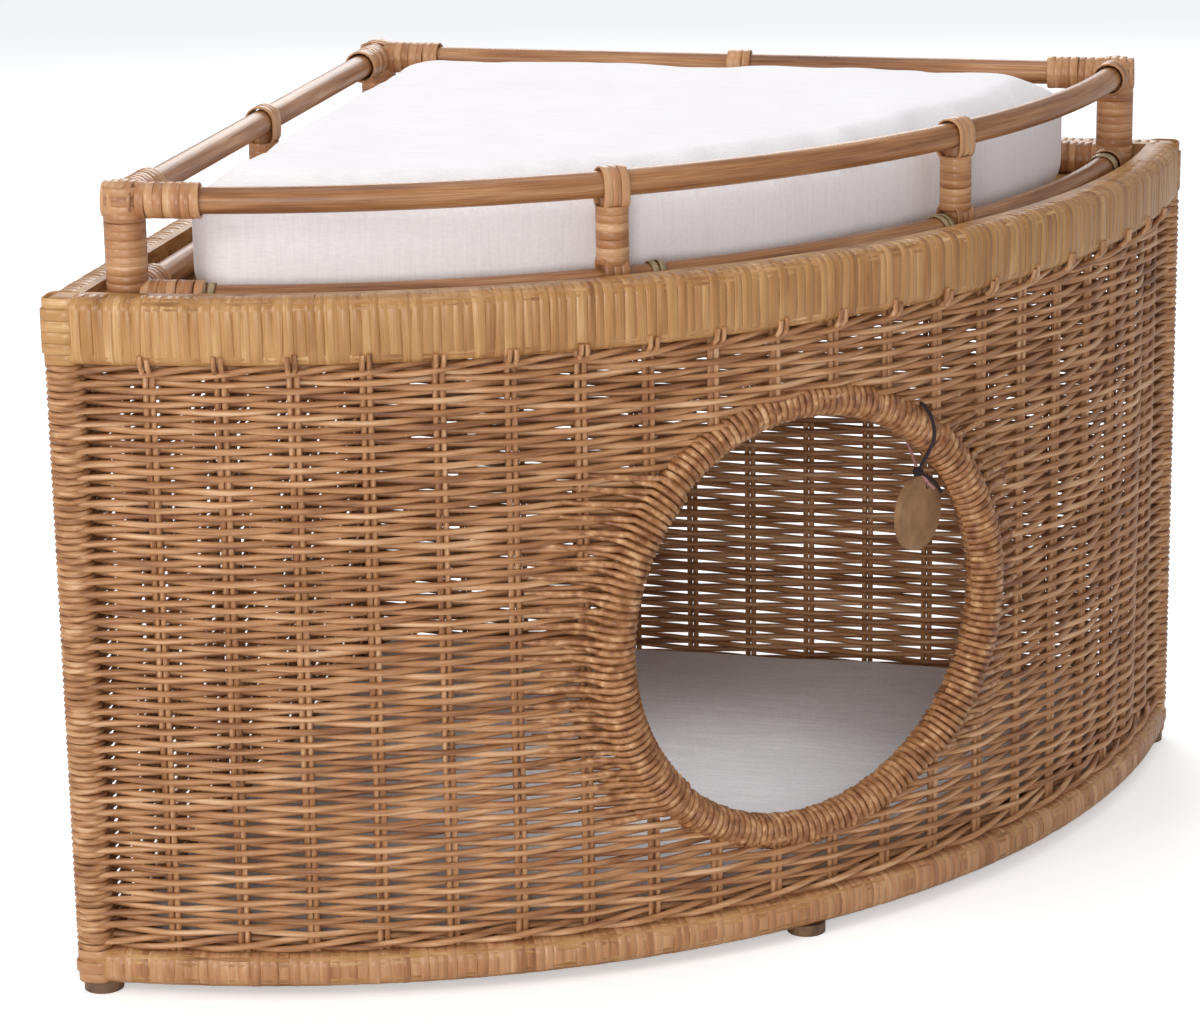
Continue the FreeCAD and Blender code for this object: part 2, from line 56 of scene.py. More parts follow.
# %% Camera
scene = bpy.context.scene
VIEW_TURN = math.radians(13.6)
VIEW_DROP = math.radians(15.93)
VIEW_ROLL = math.radians(-0.92)
VIEW_PLACE = (0.5207, -2.3237, 0.9144)
forward = Vector((-math.sin(VIEW_TURN) * math.cos(VIEW_DROP),
                  math.cos(VIEW_TURN) * math.cos(VIEW_DROP),
                  -math.sin(VIEW_DROP)))
camera_data = bpy.data.cameras.new("view")
camera_data.lens = 115.2
camera_data.clip_end = 20
camera = bpy.data.objects.new("view", camera_data)
scene.collection.objects.link(camera)
look = (-forward).to_track_quat("Z", "Y").to_matrix() @ Matrix.Rotation(VIEW_ROLL, 3, "Z")
camera.matrix_world = Matrix.Translation(VIEW_PLACE) @ look.to_4x4()
scene.camera = camera
print("camera looks along", [round(v, 3) for v in forward])

# %% [markdown]
# Every material and the studio are node trees. One function adds a node: its settings are
# keywords, and each socket gets either a link or a plain value.

# %% Colours and nodes
scene.view_settings.view_transform = "Standard"


def to_linear(code, alpha=1.0):
    """Turns an sRGB colour code such as C79A66 into the linear numbers that a shader wants."""
    parts = [int(code[i:i + 2], 16) / 255 for i in (0, 2, 4)]
    return tuple(c / 12.92 if c <= 0.04045 else ((c + 0.055) / 1.055) ** 2.4 for c in parts) + (alpha,)


def add(tree, kind, sockets=(), **settings):
    """Adds a node with its settings; a socket gets a link or a plain value."""
    node = tree.nodes.new(kind)
    for name, value in settings.items():
        setattr(node, name, value)
    for socket, source in dict(sockets).items():
        if isinstance(source, bpy.types.NodeSocket):
            tree.links.new(source, node.inputs[socket])
        else:
            node.inputs[socket].default_value = source
    return node


# %% [markdown]
# Around the basket is a bright, soft studio. The camera sees the world as plain white, but the
# basket gets only a gentle light from it.

# %% World
world = bpy.data.worlds.new("studio")
scene.world = world
world.use_nodes = True
air = world.node_tree
air.nodes.clear()
rays = add(air, "ShaderNodeLightPath")
looks = [rays.outputs["Is Camera Ray"], rays.outputs["Is Transmission Ray"]]
seen = add(air, "ShaderNodeMath", {0: looks[0], 1: looks[1]})
soft_light = add(air, "ShaderNodeBackground", {"Color": to_linear("F4F6FA"), "Strength": 0.55})
white = add(air, "ShaderNodeBackground", {"Color": (1, 1, 1, 1), "Strength": 1.0})
choice = add(air, "ShaderNodeMixShader",
             {0: seen.outputs[0], 1: soft_light.outputs[0], 2: white.outputs[0]})
add(air, "ShaderNodeOutputWorld", {"Surface": choice.outputs[0]})
print("world with", len(air.nodes), "nodes")

# %% [markdown]
# The key lamp is large and stands in front on the left, so the curved wall darkens towards its
# right end. Weaker ones stand in front, above and behind. A very weak one inside the den
# stands for the light that comes through the walls.

# %% Lamps
def lamp(name, place, aim, width, power, tint="FFFFFF", spread=180):
    """A round lamp that shines from its place towards its aim and is never seen itself."""
    data = bpy.data.lights.new(name, "AREA")
    data.spread = math.radians(spread)
    data.shape = "DISK"
    data.size = width
    data.energy = power
    data.color = to_linear(tint)[:3]
    thing = bpy.data.objects.new(name, data)
    scene.collection.objects.link(thing)
    turn = (Vector(place) - Vector(aim)).to_track_quat("Z", "Y")
    thing.matrix_world = Matrix.Translation(place) @ turn.to_matrix().to_4x4()
    thing.visible_camera = False


lamp("key", (-1.7, -2.3, 1.7), (0, 0, 0.25), 1.3, 30, "FFFAF2")
lamp("front", (0.35, -2.8, 0.8), (0.15, 0, 0.15), 0.9, 22)
lamp("above", (0, 0, 2.4), (0, 0, 0), 1.4, 8)
lamp("back", (-0.6, 2.6, 1.6), (0, 0.2, 0.2), 1.6, 26)
lamp("den", (0.02, -0.02, 0.3), (0.02, -0.02, 0), 0.25, 0.09, spread=75)

# %% [markdown]
# The basket stands on a sweep of white paper. A little glow that only the camera sees keeps
# the paper as white as the world behind it.

# %% Floor
FLOOR_SIZE = 12
FLOOR_GLOW = 0.42
bpy.ops.mesh.primitive_plane_add(size=FLOOR_SIZE, location=(0, 0, 0))
floor = bpy.context.object
floor.name = "studio_floor"
paper = bpy.data.materials.new("white paper sweep")
paper.use_nodes = True
sweep = paper.node_tree
matt = sweep.nodes["Principled BSDF"]
matt.inputs["Base Color"].default_value = to_linear("F2F2F2")
matt.inputs["Roughness"].default_value = 0.9
view_ray = add(sweep, "ShaderNodeLightPath").outputs["Is Camera Ray"]
lift = add(sweep, "ShaderNodeMath", {0: view_ray, 1: FLOOR_GLOW}, operation="MULTIPLY")
glow = add(sweep, "ShaderNodeEmission", {"Strength": lift.outputs[0]})
both = add(sweep, "ShaderNodeAddShader", {0: matt.outputs[0], 1: glow.outputs[0]})
sweep.links.new(both.outputs[0], sweep.nodes["Material Output"].inputs["Surface"])
floor.data.materials.append(paper)
print("floor", FLOOR_SIZE, "m wide")

# %% [markdown]
# All sizes come from the construction. Each wall is described by one small function: give a
# distance along the wall, a depth below its outer face and a height, and it gives the point.

# %% Sizes read from the construction
MM = 0.001
UP = Vector((0, 0, 1))
base_low, base_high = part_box("base_wrap")
rim_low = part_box("rim_wrap")[0]
weave_low, weave_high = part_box("weave_left")
post_low, post_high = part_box("post_left")
ARM = base_high.x - base_low.x
CORNER = Vector((base_low.x, base_high.y, 0))
WALL_DEPTH = (weave_low.x + weave_high.x) / 2 - base_low.x
POST_DEPTH = (post_low.x + post_high.x) / 2 - base_low.x
POST_RADIUS = (post_high.x - post_low.x) / 2
FRONT_RUN = ARM * math.pi / 2
STAKE = 3.8 * MM
WEAVER = 4.1 * MM
PITCH = 42.8 * MM
ROW = 4.0 * MM
POLE_PEEL = 2.6 * MM
print(f"arm {ARM:.3f} m, stakes {WALL_DEPTH * 1000:.1f} mm below the outer face")


def front(run, depth, height):
    """A point of the curved wall; the run is measured along its outer face from the left end."""
    turn = run / ARM
    radius = ARM - depth
    return CORNER + Vector((radius * math.sin(turn), -radius * math.cos(turn), height))


def left(run, depth, height):
    return CORNER + Vector((depth, -run, height))


def back(run, depth, height):
    return CORNER + Vector((run, -depth, height))


def run_of(place, point):
    """How far along a wall a point lies."""
    away = point - CORNER
    if place is left:
        return -away.y
    return away.x if place is back else math.atan2(away.x, -away.y) * ARM


def pair_places(run, margin, shift):
    """Even places for pairs of stakes, with at least the margin left at both ends."""
    gaps = math.floor((run - 2 * margin) / PITCH)
    first = (run - gaps * PITCH) / 2 - shift
    return [first + k * PITCH for k in range(gaps + 1)]


FRONT_MARGIN, FRONT_SHIFT = 53.75 * MM, 3 * MM
ARM_MARGIN = 43 * MM
WALLS = {
    "front": (front, FRONT_RUN, pair_places(FRONT_RUN, FRONT_MARGIN, FRONT_SHIFT)),
    "left": (left, ARM, pair_places(ARM, ARM_MARGIN, 0)),
    "back": (back, ARM, pair_places(ARM, ARM_MARGIN, 0)),
}
CORNERS = ("left", "back", "right")
print({name: len(wall[2]) for name, wall in WALLS.items()}, "stake pairs")

# %% [markdown]
# Three helpers make most of the basket. Strands are drawn as curves with a round bevel and
# turned into one mesh, a small shape can be repeated at many places, and each copy gets a tone
# of its own, so that no two strips of peel look alike.

# %% Helpers for strands and repeats
dice = random.Random(7)


def keep_mesh(name, mesh, body, material, nodes=()):
    """Makes a finished piece from a mesh and says what it rides on and stands for."""
    mesh.name = name
    mesh.shade_smooth()
    mesh.materials.clear()
    mesh.materials.append(material)
    piece = bpy.data.objects.new(name, mesh)
    scene.collection.objects.link(piece)
    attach(piece, body)
    if nodes:
        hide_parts(*nodes)
    print(f"{name}: {len(mesh.polygons)} faces")
    return piece


def curve_mesh(data):
    """Turns a curve into a mesh and lets the curve go."""
    holder = bpy.data.objects.new("curve", data)
    mesh = bpy.data.meshes.new_from_object(holder)
    bpy.data.objects.remove(holder)
    bpy.data.curves.remove(data)
    return mesh


def strands_mesh(paths, thickness, sides=2, closed=False, swell=(1, 1)):
    """One mesh of round strands along lists of points, each a little thicker or thinner."""
    data = bpy.data.curves.new("strands", "CURVE")
    data.dimensions = "3D"
    data.bevel_depth = thickness / 2
    data.bevel_resolution = sides
    data.use_fill_caps = True
    for path in paths:
        line = data.splines.new("POLY")
        line.points.add(len(path) - 1)
        line.points.foreach_set("co", [c for p in path for c in (*p, 1)])
        line.points.foreach_set("radius", [dice.uniform(*swell)] * len(path))
        line.use_cyclic_u = closed
    return curve_mesh(data)


def repeat(shape, places, seed):
    """Copies one mesh to many places, each copy with a tone of its own."""
    tones = random.Random(seed)
    whole = bmesh.new()
    for place in places:
        copy = shape.copy()
        copy.transform(place)
        whole.from_mesh(copy)
        bpy.data.meshes.remove(copy)
    mesh = bpy.data.meshes.new("repeat")
    whole.to_mesh(mesh)
    whole.free()
    values = []
    for _ in places:
        values += [tones.random()] * len(shape.vertices)
    mesh.attributes.new("tone", "FLOAT", "POINT").data.foreach_set("value", values)
    return mesh


def face_outwards(mesh):
    """Turns every face's front to the outside."""
    body = bmesh.new()
    body.from_mesh(mesh)
    bmesh.ops.recalc_face_normals(body, faces=body.faces)
    body.to_mesh(mesh)
    body.free()
    return mesh


print("helpers ready")

# %% [markdown]
# Rattan and wicker are one plant in different cuts. The round weavers are its core, pale brown
# and slightly pink under a thin varnish. Flat peel is its skin: honey-coloured, glossier, with
# fine lines along each strip. Poles are whole stems, darker and long-grained. One function
# gives them all broad patches, fine fibres and a few dark streaks, sized in millimetres.

# %% Rattan
STREAK = {"From Min": 0.6, "From Max": 0.8, "To Max": 0.4}
GRAIN = {"Strength": 0.25, "Distance": 0.0004}


def material(name):
    """A new material, its node tree and its surface node."""
    made = bpy.data.materials.new(name)
    made.use_nodes = True
    return made, made.node_tree, made.node_tree.nodes["Principled BSDF"]


def ramp(tree, source, stops):
    """Turns a value into a colour by stops of a place and a colour code."""
    node = add(tree, "ShaderNodeValToRGB", {"Fac": source})
    bar = node.color_ramp
    while len(bar.elements) < len(stops):
        bar.elements.new(0.5)
    for element, (place, code) in zip(bar.elements, stops):
        element.position = place
        element.color = to_linear(code)
    return node


def round_corner(tree, spot):
    """Turns plan coordinates into length along the curve and distance from the back corner."""
    moved = add(tree, "ShaderNodeVectorMath", {0: spot, 1: CORNER}, operation="SUBTRACT")
    split = add(tree, "ShaderNodeSeparateXYZ", {0: moved.outputs[0]})
    turn = add(tree, "ShaderNodeMath", {0: split.outputs[0], 1: split.outputs[1]}, operation="ARCTAN2")
    along = add(tree, "ShaderNodeMath", {0: turn.outputs[0], 1: ARM}, operation="MULTIPLY")
    flat = add(tree, "ShaderNodeCombineXYZ", {0: split.outputs[0], 1: split.outputs[1]})
    away = add(tree, "ShaderNodeVectorMath", {0: flat.outputs[0]}, operation="LENGTH")
    parts = {0: along.outputs[0], 1: away.outputs["Value"], 2: split.outputs[2]}
    return add(tree, "ShaderNodeCombineXYZ", parts).outputs[0]


def rattan(name, stops, patch, fibre, wall="", spread=0.0, lines=0.35, roughness=0.42, shadow="57341F"):
    """Patches give a strand's own colour and fibres its grain; both sizes are in millimetres."""
    made, tree, shader = material(name)
    spot = add(tree, "ShaderNodeTexCoord").outputs["Object"]
    if wall == "front":
        spot = round_corner(tree, spot)
    patches = add(tree, "ShaderNodeMapping", {"Vector": spot, "Scale": [1 / (m * MM) for m in patch]})
    broad = add(tree, "ShaderNodeTexNoise", {"Vector": patches.outputs[0], "Scale": 1.0, "Detail": 3.0})
    fibres = add(tree, "ShaderNodeMapping", {"Vector": spot, "Scale": [1 / (m * MM) for m in fibre]})
    fine = add(tree, "ShaderNodeTexNoise", {"Vector": fibres.outputs[0], "Scale": 1.0, "Detail": 3.0})
    tone = add(tree, "ShaderNodeAttribute", attribute_name="tone")
    own = add(tree, "ShaderNodeMath",
              {0: tone.outputs["Fac"], 1: spread, 2: broad.outputs[0]}, operation="MULTIPLY_ADD")
    lined = add(tree, "ShaderNodeMath",
                {0: fine.outputs[0], 1: lines, 2: own.outputs[0]}, operation="MULTIPLY_ADD")
    lowest = 0.34 + lines * 0.36
    highest = 0.66 + lines * 0.64 + spread
    shade = add(tree, "ShaderNodeMapRange",
                {"Value": lined.outputs[0], "From Min": lowest, "From Max": highest})
    colour = ramp(tree, shade.outputs[0], stops)
    streak = add(tree, "ShaderNodeMapRange", {"Value": fine.outputs[0], **STREAK})
    mixed = {0: streak.outputs[0], 6: colour.outputs[0], 7: to_linear(shadow)}
    wood = add(tree, "ShaderNodeMix", mixed, data_type="RGBA")
    height = add(tree, "ShaderNodeBump", {"Height": fine.outputs[0], **GRAIN})
    tree.links.new(wood.outputs[2], shader.inputs["Base Color"])
    tree.links.new(height.outputs[0], shader.inputs["Normal"])
    shader.inputs["Roughness"].default_value = roughness
    return made


def sized(wall, along, across, up):
    """Orders three pattern sizes as a wall's own coordinates have them."""
    return (across, along, up) if wall == "left" else (along, across, up)


print("rattan function ready")

# %% [markdown]
# Each cut of rattan has a range of colours from its darkest to its palest patch. On the walls
# the grain follows the wall, so each wall has finishes of its own.

# %% Rattan finishes
WEAVE_STOPS = [(0.0, "7E5031"), (0.35, "A6734A"), (0.65, "BF8C5F"), (1.0, "DCB38B")]
PEEL_STOPS = [(0.0, "84552D"), (0.35, "A87642"), (0.7, "BE8F5A"), (1.0, "D8AE7D")]
BIND_STOPS = [(0.0, "8C5936"), (0.4, "B17C52"), (0.75, "C6956A"), (1.0, "DDB48B")]
RING_STOPS = [(0.0, "7C4B29"), (0.4, "9F6B42"), (0.75, "B88558"), (1.0, "D4A87D")]
POLE_STOPS = [(0.0, "6E4224"), (0.4, "96633B"), (0.75, "B07C51"), (1.0, "C89A71")]
UNDER_STOPS = [(0.0, "4A2C16"), (0.5, "6A4222"), (1.0, "7E5330")]

TIE_STOPS = [(0.0, "7C6846"), (1.0, "BCA680")]
FOOT_STOPS = [(0.0, "51392A"), (1.0, "8A6B4C")]
BOARD_STOPS = [(0.0, "9A7247"), (1.0, "C59D6C")]

weaver_wood, peel_wood, bind_wood, pole_wood = {}, {}, {}, {}
for wall in WALLS:
    weaver_wood[wall] = rattan(f"wicker core weavers, {wall}", WEAVE_STOPS,
                               sized(wall, 70, 30, 3.9), sized(wall, 26, 2, 0.8), wall)
    peel_wood[wall] = rattan(f"flat rattan peel, {wall}", PEEL_STOPS,
                             sized(wall, 9, 60, 60), sized(wall, 0.9, 60, 45), wall,
                             spread=0.35, lines=0.9, roughness=0.34)
    bind_wood[wall] = rattan(f"flat peel on rails, {wall}", BIND_STOPS,
                             sized(wall, 7, 40, 40), sized(wall, 1.0, 30, 30), wall,
                             spread=0.35, lines=0.6, roughness=0.36)
    pole_wood[wall] = rattan(f"bare rattan pole, {wall}", POLE_STOPS,
                             sized(wall, 120, 9, 9), sized(wall, 42, 0.8, 0.8), wall,
                             lines=0.7, roughness=0.36)
pole_upright = rattan("bare rattan pole, upright", POLE_STOPS, (9, 9, 110), (0.8, 0.8, 45),
                      lines=0.6)
stake_wood = rattan("wicker stakes", WEAVE_STOPS, (4, 4, 60), (0.9, 0.9, 24))
turned_wood = rattan("weavers turned round the posts", WEAVE_STOPS, (20, 20, 3.9), (9, 9, 0.8))
ring_wood = rattan("round reed on the door ring", RING_STOPS, (7, 7, 7), (3, 3, 3),
                   lines=0.3, roughness=0.3)
level_peel = rattan("flat peel laid level", PEEL_STOPS, (40, 40, 7), (30, 30, 0.9),
                    spread=0.35, lines=0.6, roughness=0.34)
level_bind = rattan("flat peel round the rail posts", BIND_STOPS, (40, 40, 6), (25, 25, 0.9),
                    spread=0.35, lines=0.5, roughness=0.36)
tie_peel = rattan("pale peel ties", TIE_STOPS, (9, 9, 9), (1.5, 1.5, 9))
block_peel = rattan("peel closing the corner blocks", PEEL_STOPS, (30, 30, 30), (20, 20, 0.9),
                    lines=0.6)
under_wrap = rattan("shaded peel under the wraps", UNDER_STOPS, (20, 20, 20), (2, 2, 2),
                    roughness=0.6)
foot_wood = rattan("turned wooden foot", FOOT_STOPS, (12, 12, 12), (1, 1, 8), roughness=0.5)
board_wood = rattan("plain board", BOARD_STOPS, (60, 14, 60), (30, 1, 30), roughness=0.6)
print("rattan finishes ready")

# %% [markdown]
# The doorway is a round hole in the curved wall, seen straight on along the diagonal. Its ring
# is a tube, and everything near it is measured from the ring's centre.

# %% The door ring's place
ring_low, ring_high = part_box("door_wrap")
RING_CENTRE = (ring_low + ring_high) / 2
RING_TUBE = 21 * MM / 2
RING_REACH = (ring_high.z - ring_low.z) / 2 - RING_TUBE
OUT = Vector((1, -1, 0)).normalized()
SIDE = Vector((1, 1, 0)).normalized()


def ring_distance(point):
    """Distance from the doorway's centre, seen straight on."""
    offset = point - RING_CENTRE
    return math.hypot(offset.dot(SIDE), offset.z)


print("ring centre", [round(v, 3) for v in RING_CENTRE], "reach", round(RING_REACH, 3))

# %% [markdown]
# Plain weave: each row passes in front of one pair of stakes and behind the next, and the row
# above does the opposite. A real weaver bends only at the stakes and runs nearly straight
# between them, so a softened triangle wave gives its path. Near a corner post the swing grows,
# because the post is thicker, and a row that meets the doorway ends inside the ring.

# %% Woven walls
POINTS_PER_PITCH = 8
SOFTNESS = 0.96
SWING = (STAKE + WEAVER) / 2 - 0.5 * MM
POST_SWING = POST_RADIUS + WEAVER / 2 - 0.6 * MM
POST_EASE = 24 * MM
WANDER, RIPPLE = 0.2 * MM, 0.25 * MM
rows = round((weave_high.z - weave_low.z) / ROW)
row_gap = (weave_high.z - weave_low.z) / rows


def row_path(place, run, first, number, height):
    """Points of one weaver from post to post."""
    count = int((run - 2 * POST_DEPTH) / PITCH * POINTS_PER_PITCH)
    wander = dice.uniform(-WANDER, WANDER)
    phase = dice.uniform(0, 6)
    path = []
    for k in range(count + 1):
        s = POST_DEPTH + (run - 2 * POST_DEPTH) * k / count
        from_post = min(s, run - s) - POST_DEPTH
        closeness = max(0.0, 1 - from_post / POST_EASE)
        reach = SWING + (POST_SWING - SWING) * closeness ** 2
        wave = math.cos(math.pi * ((s - first) / PITCH + number))
        side = math.asin(SOFTNESS * wave) / math.asin(SOFTNESS)
        lift = wander + RIPPLE * math.sin(s * 21 + phase)
        path.append(place(s, WALL_DEPTH - reach * side, height + lift))
    return path


def outside_doorway(path):
    """Cuts a row where it enters the ring."""
    parts = [[]]
    for point in path:
        if ring_distance(point) > RING_REACH:
            parts[-1].append(point)
        elif parts[-1]:
            parts.append([])
    return [part for part in parts if len(part) > 1]


def woven(name, wall, first_row, last_row, nodes=()):
    """One piece of woven wall, from its first row up to its last."""
    place, run, pairs = WALLS[wall]
    paths = []
    for number in range(first_row, last_row):
        height = weave_low.z + row_gap * (number + 0.5)
        path = row_path(place, run, pairs[0], number, height)
        paths += outside_doorway(path) if wall == "front" else [path]
    sides = 2 if wall == "front" else 1
    mesh = strands_mesh(paths, WEAVER, sides, swell=(0.92, 1.05))
    keep_mesh(name, mesh, "house", weaver_wood[wall], nodes)


woven("front_weave_low", "front", 0, rows // 2, ["weave_front"])
woven("front_weave_high", "front", rows // 2, rows)
woven("left_weave", "left", 0, rows, ["weave_left"])
woven("back_weave", "back", 0, rows, ["weave_back"])
print(rows, "rows,", round(row_gap / MM, 2), "mm apart")

# %% [markdown]
# At each corner the weavers turn round the post, from the base to the rim. One ring of strand,
# repeated up the post with a slight tilt each time, gives the stacked rolls of the corner.

# %% Weavers round the corner posts
TURN_TILT = 3


def circle_path(radius, count=14):
    turns = [2 * math.pi * k / count for k in range(count)]
    return [Vector((radius * math.cos(t), radius * math.sin(t), 0)) for t in turns]


def box_centre(node):
    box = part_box(node)
    return (box[0] + box[1]) / 2


turn_shape = strands_mesh([circle_path(POST_RADIUS + WEAVER / 2 - 0.4 * MM)], WEAVER, 1, closed=True)
wale_start, wale_end = base_high.z, rim_low.z
turn_count = round((wale_end - wale_start) / row_gap)
for corner in CORNERS:
    centre = box_centre("post_" + corner)
    places = []
    for number in range(turn_count):
        height = wale_start + (wale_end - wale_start) * (number + 0.5) / turn_count
        tilt = Matrix.Rotation(math.radians(dice.uniform(-TURN_TILT, TURN_TILT)), 4, "X")
        spin = Matrix.Rotation(dice.uniform(0, 6), 4, "Z")
        places.append(Matrix.Translation((centre.x, centre.y, height)) @ spin @ tilt)
    turns = repeat(turn_shape, places, 11)
    keep_mesh(f"post_turns_{corner}", turns, "house", turned_wood, ["sleeve_" + corner])

# %% [markdown]
# A wale is three rods twisted round the stakes in turn. Each rod follows a long flat helix, a
# third of a turn behind the next, which gives the rope-like line above the base and under the
# rim. Above the upper wale the cut ends of the stakes show, tucked up over the rim's edge.

# %% Twisted wales and stake tips
WALE_SWING = (STAKE + WEAVER) / 2 + 1.4 * MM
TIP_OUT, TIP_RISE, TIP_DROP = 0.4 * MM, 6.5 * MM, 6 * MM


def wale_paths(bottom, top):
    """Three twisted rods along each wall, between two heights."""
    middle = (bottom + top) / 2
    rise = (top - bottom) / 2 - WEAVER / 2
    paths = []
    for place, run, pairs in WALLS.values():
        count = int((run - 2 * POST_DEPTH) / PITCH * POINTS_PER_PITCH)
        for rod in range(3):
            path = []
            for k in range(count + 1):
                s = POST_DEPTH + (run - 2 * POST_DEPTH) * k / count
                turn = 2 * math.pi * ((s - pairs[0]) / (3 * PITCH) + rod / 3)
                depth = WALL_DEPTH - WALE_SWING * math.cos(turn)
                path.append(place(s, depth, middle + rise * math.sin(turn)))
            paths.append(path)
    return paths


for name in ("wale_base", "wale_top"):
    wale_low, wale_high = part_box(name)
    mesh = strands_mesh(wale_paths(wale_low.z, wale_high.z), WEAVER)
    keep_mesh(name + "_rods", mesh, "house", weaver_wood["front"], [name])

tips = []
for place, run, pairs in WALLS.values():
    for middle in pairs:
        for side in (-1, 1):
            s = middle + side * (STAKE / 2 + 0.2 * MM)
            rise = TIP_RISE + dice.uniform(-2, 1.5) * MM
            lean = dice.uniform(-0.4, 0.4) * MM
            tips.append([place(s, WALL_DEPTH - STAKE, rim_low.z - TIP_DROP),
                         place(s, TIP_OUT, rim_low.z),
                         place(s + lean, -TIP_OUT, rim_low.z + rise)])
keep_mesh("stake_tips", strands_mesh(tips, STAKE * 0.9, 1), "house", stake_wood)

# %% [markdown]
# The base and rim poles are wrapped in flat peel. One strip is a flat loop with softened
# edges. It is repeated along each pole, each a little wider or narrower and slightly crooked.

# %% Peel wraps on base and rim
PEEL = 1.3 * MM
BAND_STRIP = 6.2 * MM
BAND_ROUNDING = 7.4 * MM
BAND_WIDTH = {"rim_wrap": 18.2 * MM + POLE_PEEL, "base_wrap": 18 * MM + POLE_PEEL}


def loop_shape(width, height, rounding, strip, thickness=PEEL, per_corner=3):
    """A flat strip closed round a rectangle with rounded corners, in the XY plane."""
    data = bpy.data.curves.new("loop", "CURVE")
    data.dimensions = "2D"
    data.fill_mode = "NONE"
    data.extrude = strip / 2 - thickness / 4
    data.bevel_depth = thickness / 2
    data.bevel_resolution = 0
    points = []
    for quarter, (sx, sy) in enumerate(((1, 1), (-1, 1), (-1, -1), (1, -1))):
        middle = Vector((sx * (width / 2 - rounding), sy * (height / 2 - rounding), 0))
        for k in range(per_corner + 1):
            angle = math.pi / 2 * (quarter + k / per_corner)
            points.append(middle + Vector((math.cos(angle), math.sin(angle), 0)) * rounding)
    line = data.splines.new("POLY")
    line.points.add(len(points) - 1)
    line.points.foreach_set("co", [c for p in points for c in (*p, 1)])
    line.use_cyclic_u = True
    return face_outwards(curve_mesh(data))


def stand(place, run, depth, height, crooked=1.2):
    """Stands a loop across a wall: its X points out of the wall and its Y up."""
    here = place(run, depth, height)
    outward = (place(run, 0, height) - here).normalized()
    turn = Matrix((outward, UP, outward.cross(UP))).transposed().to_4x4()
    wobble = Matrix.Rotation(math.radians(dice.gauss(0, crooked)), 4, "X")
    lean = Matrix.Rotation(math.radians(dice.gauss(0, crooked)), 4, "Y")
    size = Matrix.Scale(1 + dice.uniform(-0.006, 0.014), 4)
    return Matrix.Translation(here) @ turn @ wobble @ lean @ size


def band_wraps(name, node, woods):
    """Strips side by side along the pole of each wall, from corner block to corner block."""
    node_low, node_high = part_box(node)
    height = node_high.z - node_low.z
    width = BAND_WIDTH[node]
    shape = loop_shape(width - PEEL * 0.4, height - PEEL * 0.4, BAND_ROUNDING, BAND_STRIP)
    for wall, (place, run, _) in WALLS.items():
        places = []
        s = width - PEEL
        while s < run - width + PEEL:
            share = dice.uniform(0.75, 1.2)
            spot = stand(place, s + share * BAND_STRIP / 2, width / 2, node_low.z + height / 2)
            places.append(spot @ Matrix.Diagonal((1, 1, share, 1)))
            s += share * BAND_STRIP
        mesh = repeat(shape, places, len(places))
        keep_mesh(f"{name}_{wall}", mesh, "house", woods[wall])


band_wraps("rim_strips", "rim_wrap", peel_wood)
band_wraps("base_strips", "base_wrap", bind_wood)

# %% [markdown]
# The poles meet in square corner blocks. Level strips go round each block, and the wrapping's
# own rounded top, which closes over the post, shows between and above them.

# %% Corner blocks
BLOCK_OVER = 1.1 * MM
BLOCK_ROUNDING = 7 * MM
END_SHRINK = 0.9


def block_strips(name, node, strip, wood):
    """Level strips round the three corner blocks of the base or the rim."""
    node_low, node_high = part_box(node)
    width = BAND_WIDTH[node]
    rise = node_high.z - node_low.z
    count = round(rise / strip)
    level = loop_shape(width + BLOCK_OVER, width + BLOCK_OVER, BLOCK_ROUNDING, rise / count)
    levels = []
    for corner in CORNERS:
        centre = box_centre("post_" + corner)
        for k in range(count):
            height = node_low.z + rise * (k + 0.5) / count
            spin = Matrix.Rotation(math.radians(dice.uniform(-1.5, 1.5)), 4, "X")
            shrink = END_SHRINK if k in (0, count - 1) else 1.0
            spot = Matrix.Translation((centre.x, centre.y, height)) @ spin
            levels.append(spot @ Matrix.Diagonal((shrink, shrink, 1, 1)))
    keep_mesh(name, repeat(level, levels, 5), "house", wood)


block_strips("rim_corner_strips", "rim_wrap", 6.2 * MM, level_peel)
block_strips("base_corner_strips", "base_wrap", 6.6 * MM, level_bind)

# %% [markdown]
# The doorway's edge is a hoop bound all round with reed, so one long coil is right. At its two
# sides the ends of the wall's weavers are turned over the hoop too, and fan out into the rows.

# %% Door ring
REED = 4.5 * MM
COIL_RADIUS = RING_TUBE + 1.0 * MM - REED / 2
COIL_POINTS = 12
FAN_REACH = RING_TUBE + 1.2 * MM
LONG_TAIL, SHORT_TAIL = 46 * MM, 18 * MM
FANS_EACH_WAY = 24
FAN_LIFT = 7 * MM


def ring_point(turn, reach, outward):
    """A point by its angle round the doorway, distance from its centre and distance in front."""
    across = SIDE * (reach * math.cos(turn))
    return RING_CENTRE + across + UP * (reach * math.sin(turn)) + OUT * outward


turns = round(2 * math.pi * RING_REACH / REED)
coil = []
for k in range(turns * COIL_POINTS):
    turn = 2 * math.pi * k / (turns * COIL_POINTS)
    roll = 2 * math.pi * k / COIL_POINTS
    radius = COIL_RADIUS + 0.3 * MM * math.sin(k * 0.37)
    coil.append(ring_point(turn, RING_REACH - radius * math.cos(roll), radius * math.sin(roll)))
ring = strands_mesh([coil], REED * 1.02, 1, closed=True)
keep_mesh("ring_coil", ring, "house", ring_wood, ["door_wrap"])

# %% [markdown]
# A fan strand starts inside the hoop, goes over its front and runs out into the wall. Long and
# short ones alternate, and they dip behind the rows at their ends.

